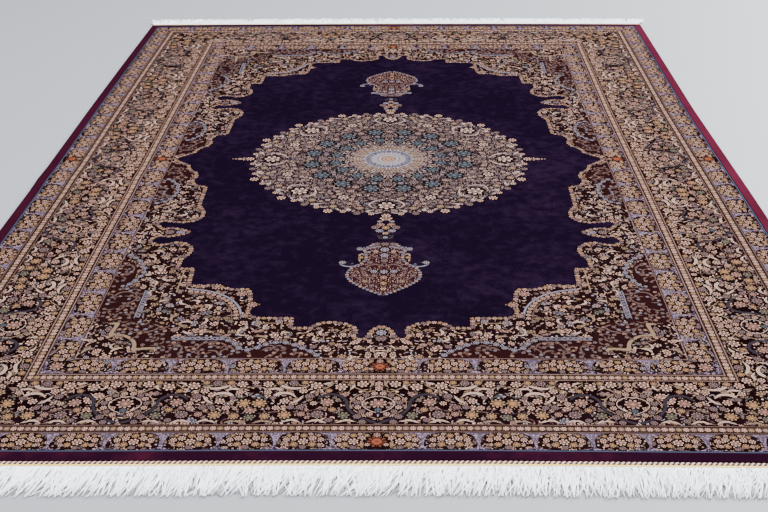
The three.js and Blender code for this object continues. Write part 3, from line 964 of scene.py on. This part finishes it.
def buildRug():
    # an even grid of the plan, drawn in by each edge's inset and closed by a rounded rim and a flat underside
    nx, ny = rugBody["facesAcross"], rugBody["facesAlong"]
    planX, planY = np.meshgrid(np.linspace(-halfX, halfX, nx + 1), np.linspace(-halfY, halfY, ny + 1),
                               indexing="ij")
    along, across = planY / halfY, planX / halfX
    insetX = np.where(planX < 0, np.interp(along, rugBody["sideStations"], rugBody["leftInset"]),
                      np.interp(along, rugBody["sideStations"], rugBody["rightInset"]))
    insetY = np.where(planY < 0, np.interp(across, rugBody["endStations"], rugBody["nearInset"]),
                      np.interp(across, rugBody["endStations"], rugBody["farInset"]))
    rounding = rugBody["rounding"]
    x = planX * (halfX - insetX - rounding) / halfX
    y = planY * (halfY - insetY - rounding) / halfY
    index = np.arange((nx + 1) * (ny + 1)).reshape(nx + 1, ny + 1)
    loop = np.concatenate([index[:, 0], index[-1, 1:], index[-2::-1, -1], index[0, -2:0:-1]])
    top = np.column_stack([x.ravel(), y.ravel(), np.full(x.size, rugBody["thickness"])])
    plan = np.column_stack([planX.ravel(), planY.ravel(), np.ones(x.size)])
    # the edge: rings of the top's rim carried out and down, then the flat underside
    atRim = np.abs(plan[loop, :2]) > (halfX - 1, halfY - 1)
    away = np.column_stack([np.sign(np.where(atRim, plan[loop, :2], 0)), np.zeros(len(loop))])
    rings, start = [loop], x.size
    points, plans = [top], [plan]
    for reach, height, shown in ((1.0, rugBody["thickness"] - rounding, 1), (1.0, 1.2, 1), (0.0, 0.0, 0)):
        ring = top[loop] + away * rounding * reach
        ring[:, 2] = height
        points.append(ring)
        plans.append(np.column_stack([plan[loop, :2], np.full(len(loop), shown)]))
        rings.append(np.arange(start, start + len(loop)))
        start += len(loop)
    points, plans = np.vstack(points) * mm, np.vstack(plans)
    quads = np.stack([index[:-1, :-1], index[1:, :-1], index[1:, 1:], index[:-1, 1:]], -1).reshape(-1, 4)
    sides = np.vstack([np.column_stack([np.roll(low, -1), np.roll(high, -1), high, low])
                       for high, low in zip(rings[:-1], rings[1:])])
    bottom = rings[-1]
    near, right = bottom[:nx + 1], bottom[nx:nx + ny + 1]
    far, left = bottom[nx + ny:2 * nx + ny + 1], np.concatenate([bottom[2 * nx + ny:], bottom[:1]])[::-1]
    under = np.column_stack([left[1:-2], left[2:-1], right[2:-1], right[1:-2]])
    ends = np.vstack([np.concatenate([near[::-1], [left[1], right[1]]]),
                      np.concatenate([far[::-1], [right[-2], left[-2]]])])
    piece = meshPiece("rug_pile", points, [quads, sides, under, ends], pileMaterial())

    # the quarter's drawing folded out to the four quarters
    def fold(count):
        # each face's number in the quarter, and whether it is mirrored
        face = np.arange(count)
        half = count // 2
        return np.where(face < half, half - 1 - face, face - half), face < half
    foldI, flipI = fold(nx)
    foldJ, flipJ = fold(ny)
    corner = np.array([(0, 0), (1, 0), (1, 1), (0, 1)])
    cornerI = np.where(flipI[:, None], 1 - corner[:, 0], corner[:, 0])[:, None, :]
    cornerJ = np.where(flipJ[:, None], 1 - corner[:, 1], corner[:, 1])[None, :, :]
    blank = np.full((sides.size + under.size + ends.size, 3), 9.0)
    for layer in (*bloomLayers, *strokeLayers, ovals):
        folded = layer.values[foldI[:, None, None], foldJ[None, :, None], cornerI, cornerJ]
        addAttribute(piece, layer.name, "FLOAT_VECTOR", "CORNER", np.vstack([folded.reshape(-1, 3), blank]))
    flatX, flatY = np.abs(plans[:, 0]), np.abs(plans[:, 1])
    outlines = np.column_stack([insideDistance(fieldOutline, flatX, flatY), panels(flatX, flatY),
                                insideDistance(pendantOutline, flatX, flatY)])
    addAttribute(piece, "plan", "FLOAT_VECTOR", "POINT", plans)
    addAttribute(piece, "outlines", "FLOAT_VECTOR", "POINT", outlines)

    # bake map: the pile fills the square above a thin strip for the edge and the underside
    cornerIndex = np.concatenate([quads.ravel(), sides.ravel(), under.ravel(), ends.ravel()])
    shares = plans[:, :2] / (rugBody["width"], rugBody["length"]) + 0.5
    (fromX, sizeX), (fromY, sizeY) = bakeMap["across"], bakeMap["along"]
    mapped = (shares * (sizeX, sizeY) + (fromX, fromY))[cornerIndex]
    ringOf = np.repeat(np.arange(len(rings) - 1), len(loop))
    station = np.tile(np.arange(len(loop)), len(rings) - 1)
    spot = np.stack([station + 1, station + 1, station, station], -1) / len(loop)
    level = np.stack([ringOf + 1, ringOf, ringOf, ringOf + 1], -1)
    rimFrom, underFrom = quads.size, quads.size + sides.size
    rimHeight = bakeMap["rimTop"] - bakeMap["rimStep"] * level.ravel()
    mapped[rimFrom:underFrom] = np.column_stack([spot.ravel(), rimHeight])
    mapped[underFrom:] = shares[cornerIndex[underFrom:]] * (1.0, bakeMap["underHeight"])
    uv = piece.data.uv_layers.new(name="OFBake")
    uv.data.foreach_set("uv", mapped.astype(np.float32).ravel())
    return piece


rug = buildRug()
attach(rug, "root")
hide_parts("pile_body")
print("rug built:", len(rug.data.polygons), "faces")


# End finish: an overcast cord, a gold line and the warp fringe
endFinish = {
    "cordWidth": 9.0, "cordHeight": 6.4, "seam": 0.3, "stitchPitch": 9.7, "stitchLean": 0.8, "stitchRise": 0.7,
    "profileSides": 10, "stepsPerStitch": 6, "threadDark": (26, 7, 17), "threadLight": (184, 146, 122),
    "goldRadius": 2.0, "goldPitch": 6.0, "goldSections": 1600, "goldSides": 6,
    "goldOut": 2.4, "goldHeight": 3.4,
}
fringeYarn = {
    # tiers of tufts from the floor up: tufts, strands in each, length, its spread, height, least and most tone
    "tiers": {
        # painted shade: the base tier's strands are dark grey, standing for the shadows between the white tufts
        # above
        "base": (860, 10, 76.0, 7.0, 0.8, (0.0, 0.4)),
        "low": (580, 7, 83.0, 3.5, 2.6, (0.92, 1.0)),
        "middle": (440, 6, 64.0, 11.0, 4.4, (0.95, 1.0)),
        "top": (500, 6, 36.0, 14.0, 5.4, (0.96, 1.0)),
    },
    "rootFrom": 14.5, "radius": 0.8, "lean": -0.2, "leanSpread": 0.22, "drawIn": 0.8,
    "cornerSplay": 34.0, "cornerFrom": 0.955, "cornerWidth": 0.045, "tuftSpread": 0.4, "rootSpread": 0.62,
    # along a strand: share of the length, share of the height, thickness
    "stations": [0.0, 0.3, 0.68, 1.0], "rise": [0.45, 1.0, 1.0, 0.7], "taper": [0.9, 1.0, 0.95, 0.55],
    "seed": {"near": 7, "far": 8},
}
outward = {"near": -1.0, "far": 1.0}


def endEdge(end, x):
    # Y of the pile's end at X, in millimetres
    inset = np.interp(x / halfX, rugBody["endStations"], rugBody[end + "Inset"])
    return outward[end] * (halfY - inset)


def endSpan(end):
    # X of the end's left and right corners
    k = 0 if end == "near" else -1
    return -halfX + rugBody["leftInset"][k], halfX - rugBody["rightInset"][k]


def cordMaterial():
    # cream where the cosine of the stitch's phase is high, wine between
    nodes = NodeTable("overcast stitches")
    along, turn = nodes.split(nodes.attribute("stitch"))[:2]
    thread = ((along + turn * endFinish["stitchLean"]) * (2 * math.pi)).math("COSINE")
    place = nodes.make("ShaderNodeTexCoord", {}, {}, "Object")
    fibre = nodes.make("ShaderNodeTexNoise", {}, {"Vector": place, "Scale": 900.0}, 0)
    colour = nodes.mix(thread > -0.05, linear(*endFinish["threadDark"]), linear(*endFinish["threadLight"]))
    nodes.feed(Base_Color=nodes.multiply(colour, 0.8 + fibre * 0.4), Roughness=0.75)
    return nodes.material


def plainYarn(name, colour, spread, roughness):
    # one colour, darkened by the spread where the strand's tone is nought: a little random tone on the white
    # strands, and painted shade on the fringe's dark base strands
    nodes = NodeTable(name)
    tone = nodes.attribute("tone", "Fac")
    shaded = nodes.multiply(linear(*colour)[:3], 1.0 - spread + tone * spread)
    nodes.feed(Base_Color=shaded, Roughness=roughness)
    return nodes.material


def tubeFaces(sections, sides):
    # quads between neighbouring sections of a tube, with its two end caps
    k, s = np.meshgrid(np.arange(sections - 1) * sides, np.arange(sides), indexing="ij")
    nextSide = (s + 1) % sides
    quads = np.stack([k + s, k + nextSide, k + sides + nextSide, k + sides + s], -1).reshape(-1, 4)
    caps = np.vstack([np.arange(sides)[::-1], np.arange(sides) + (sections - 1) * sides])
    return quads, caps


def endTube(name, end, x, y, z, material):
    # a tube across an end: a section at each x, whose y and z go round it
    points = np.stack([np.broadcast_to(x[:, None], y.shape), y, z], -1).reshape(-1, 3) * mm
    quads, caps = tubeFaces(*y.shape)
    if outward[end] < 0:
        quads, caps = quads[:, ::-1], caps[:, ::-1]
    return meshPiece(name + end, points, [quads, caps], material, True)


def buildCord(end):
    # an oval section carried along the end, swelling at every slanted stitch
    left, right = endSpan(end)
    stitches = round((right - left) / endFinish["stitchPitch"])
    station = np.linspace(0, 1, stitches * endFinish["stepsPerStitch"] + 1)
    x = left + (right - left) * station
    angle = np.linspace(0, 2 * math.pi, endFinish["profileSides"], endpoint=False)
    phase = station[:, None] * stitches
    overTop = np.abs(angle[None, :] / (2 * math.pi) * 2 - 1)  # from 1 at the outer side to 0 at the pile
    slant = phase + endFinish["stitchLean"] * overTop
    swell = endFinish["stitchRise"] * (np.cos(2 * math.pi * slant) - 1) / 2
    halfWidth, halfHeight = endFinish["cordWidth"] / 2, endFinish["cordHeight"] / 2
    out = endFinish["seam"] + halfWidth + (halfWidth + swell) * np.cos(angle)[None, :]
    y = endEdge(end, x)[:, None] + outward[end] * out
    z = np.maximum(0.0, halfHeight + (halfHeight + swell) * np.sin(angle)[None, :])
    piece = endTube("overcast_cord_", end, x, y, z, stitchCloth)
    stitch = np.stack([*np.broadcast_arrays(phase, overTop), np.zeros(y.shape)], -1)
    addAttribute(piece, "stitch", "FLOAT_VECTOR", "POINT", stitch.reshape(-1, 3))
    return piece


def buildGoldLine(end):
    # a thin two-ply twist lying where the fringe leaves the cord
    x = np.linspace(*endSpan(end), endFinish["goldSections"])
    angle = np.linspace(0, 2 * math.pi, endFinish["goldSides"], endpoint=False)[None, :]
    twist = 2 * math.pi * x[:, None] / endFinish["goldPitch"]
    radius = endFinish["goldRadius"] * (0.85 + 0.15 * np.cos(2 * (angle + twist)))
    out = endFinish["cordWidth"] + endFinish["goldOut"] + radius * np.cos(angle)
    y = endEdge(end, x)[:, None] + outward[end] * out
    z = endFinish["goldHeight"] + radius * np.sin(angle)
    piece = endTube("gold_line_", end, x, y, z, goldTwist)
    addAttribute(piece, "tone", "FLOAT", "POINT", np.ones(y.size))
    return piece


def fringeTier(end, tier, rng):
    # strands of a tier's tufts: each rises from its root, bows over, leans with its length and draws in to the
    # middle of its tuft, and near the corners they splay
    tufts, perTuft, meanLength, spread, height, tones = fringeYarn["tiers"][tier]
    left, right = endSpan(end)
    pitch = (right - left - 4) / tufts
    middle = left + 2 + pitch * (np.arange(tufts) + 0.5 + rng.uniform(-1, 1, tufts) * fringeYarn["tuftSpread"])
    share = middle / halfX
    waving = 0.8 + 0.45 * np.sin(share * 9 + 1.5) + 0.25 * np.sin(share * 47)
    toCorner = np.clip((np.abs(share) - fringeYarn["cornerFrom"]) / fringeYarn["cornerWidth"], 0, 1)
    tuftLean = fringeYarn["lean"] * waving + rng.normal(0, fringeYarn["leanSpread"], tufts)
    tuftLength = meanLength + rng.uniform(-1, 1, tufts) * spread
    splay = np.sign(share) * fringeYarn["cornerSplay"] * toCorner ** 1.5
    of = np.repeat(np.arange(tufts), perTuft)
    count = len(of)
    root = middle[of] + rng.uniform(-1, 1, count) * fringeYarn["rootSpread"] * pitch
    length = tuftLength[of] + rng.uniform(-4, 4, count)
    aside = tuftLean[of] * (1 - toCorner[of]) * length + splay[of] + (middle[of] - root) * fringeYarn["drawIn"]
    t = np.array(fringeYarn["stations"])[None, :]
    x = root[:, None] + aside[:, None] * t ** 1.3 + rng.normal(0, 0.5, (count, 4)) * t
    y = endEdge(end, root)[:, None] + outward[end] * (fringeYarn["rootFrom"] + length[:, None] * t)
    rise = np.array(fringeYarn["rise"])[None, :] * height * rng.uniform(0.7, 1.15, tufts)[of][:, None]
    z = 1.0 + rise + rng.uniform(-0.6, 0.9, (count, 1)) + rng.normal(0, 0.25, (count, 4)) * t
    return x, y, z, rng.uniform(*tones, count)


def buildFringe(end, name, tiers):
    # three-sided strands of several tiers in one piece, each a tube of four sections that thins to its tip
    rng = np.random.default_rng(fringeYarn["seed"][end] + len(tiers[0]))
    x, y, z, tone = (np.concatenate(parts) for parts in zip(*(fringeTier(end, tier, rng) for tier in tiers)))
    count, rings = x.shape
    taper = np.array(fringeYarn["taper"])[None, :]
    radius = fringeYarn["radius"] * taper * rng.uniform(0.75, 1.25, (count, 1))
    angle = np.array([0.5, 0.5 + 2 / 3, 0.5 + 4 / 3]) * math.pi  # one corner up
    px = x[:, :, None] + radius[:, :, None] * np.cos(angle)
    pz = np.maximum(0.05, z[:, :, None] + radius[:, :, None] * np.sin(angle))
    py = np.broadcast_to(y[:, :, None], px.shape)
    points = np.stack([px, py, pz], -1).reshape(-1, 3) * mm
    quads, caps = tubeFaces(rings, 3)
    base = (np.arange(count) * rings * 3)[:, None, None]
    quads, caps = (quads + base).reshape(-1, 4), (caps + base).reshape(-1, 3)
    if outward[end] > 0:
        quads, caps = quads[:, ::-1], caps[:, ::-1]
    piece = meshPiece("fringe_" + name + "_" + end, points, [quads, caps], fringeWhite, True)
    addAttribute(piece, "tone", "FLOAT", "POINT", np.repeat(tone, rings * 3))
    return piece


stitchCloth = cordMaterial()
goldTwist = plainYarn("gold twist", (238, 200, 92), 0.2, 0.7)
fringeWhite = plainYarn("white yarn", (243, 248, 254), 0.75, 0.9)
for end in ("near", "far"):
    cord, goldLine = buildCord(end), buildGoldLine(end)
    fringes = [buildFringe(end, "over", ("low", "middle", "top"))]
    if end == "near":
        # the under piece holds the base tier's dark strands, painted shade between the tufts
        fringes.append(buildFringe(end, "under", ("base",)))
    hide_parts("stitched_cord_" + end)
    for fringe in fringes:
        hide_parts("fringe_" + end)
    slots = [(cord, "end_cord"), (goldLine, "end_cord"), *((fringe, "fringe_yarn") for fringe in fringes)]
    for piece, slotName in slots:
        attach(piece, "root")
    print("end finished:", end, sum(len(fringe.data.polygons) for fringe in fringes), "fringe faces")

# Floor, light and camera
stageSet = {
    "floorSize": 30.0, "floorDrop": 0.0006, "floorColour": (128, 131, 136),
    "skyColour": (229, 233, 241), "skyStrength": 1.5,
    # name, place, target, size, watts, colour
    "lamps": [
        ("window", (4.2, 4.5, 3.6), (0, 0.4, 0), (4.0, 2.4), 1280, (0.95, 0.98, 1.0)),
        ("front", (0.3, -6.5, 1.3), (0, -1.6, 0), (4.0, 1.6), 260, (0.97, 0.99, 1.0)),
        ("overhead", (0.5, -1.0, 4.5), (0, -0.2, 0), (4.0, 4.0), 600, (1.0, 0.98, 0.96)),
    ],
}
cameraView = {
    "place": (0.0573, -3.2595, 1.2906), "yaw": -1.286, "pitch": 26.198, "roll": -0.4605,
    "lens": 55.443, "sensor": 36.0,
}


def buildFloor():
    half, low = stageSet["floorSize"] / 2, -stageSet["floorDrop"]
    nodes = NodeTable("pale floor")
    nodes.feed(Base_Color=linear(*stageSet["floorColour"]), Roughness=0.6)
    points = np.array([(-half, -half, low), (half, -half, low), (half, half, low), (-half, half, low)])
    floor = meshPiece("floor", points, [np.array([[0, 1, 2, 3]])], nodes.material)


def stand(name, data, place, right, up, back):
    # a lamp or camera at a place, with its own X, Y and Z along three directions
    holder = bpy.data.objects.new(name, data)
    bpy.context.scene.collection.objects.link(holder)
    turn = Matrix(np.column_stack([right, up, back]).tolist()).to_4x4()
    holder.matrix_world = Matrix.Translation(place) @ turn
    return holder


def addLamp(name, place, target, size, watts, colour):
    # an area lamp that faces its target
    lamp = bpy.data.lights.new(name, "AREA")
    lamp.shape, lamp.size, lamp.size_y = "RECTANGLE", size[0], size[1]
    lamp.energy, lamp.color = watts, colour
    back = np.array(place, float) - np.array(target, float)
    back /= np.linalg.norm(back)
    right = np.cross((0, 0, 1), back)
    right /= np.linalg.norm(right)
    stand(name, lamp, place, right, np.cross(back, right), back)


def setLight():
    world = bpy.data.worlds.new("soft sky")
    world.use_nodes = True
    sky = world.node_tree.nodes["Background"]
    sky.inputs["Color"].default_value = linear(*stageSet["skyColour"])
    sky.inputs["Strength"].default_value = stageSet["skyStrength"]
    bpy.context.scene.world = world
    for lamp in stageSet["lamps"]:
        addLamp(*lamp)


def placeCamera():
    # yaw from +Y, pitch down and roll give the view's own directions
    yaw, pitch, roll = (math.radians(cameraView[k]) for k in ("yaw", "pitch", "roll"))
    forward = np.array([math.sin(yaw) * math.cos(pitch), math.cos(yaw) * math.cos(pitch), -math.sin(pitch)])
    level = np.array([math.cos(yaw), -math.sin(yaw), 0.0])
    rise = np.cross(level, forward)
    right = level * math.cos(roll) + rise * math.sin(roll)
    up = rise * math.cos(roll) - level * math.sin(roll)
    lens = bpy.data.cameras.new("view")
    lens.lens, lens.sensor_width, lens.sensor_fit = cameraView["lens"], cameraView["sensor"], "HORIZONTAL"
    bpy.context.scene.camera = stand("view", lens, cameraView["place"], right, up, -forward)


buildFloor()
setLight()
placeCamera()
print("stage set")
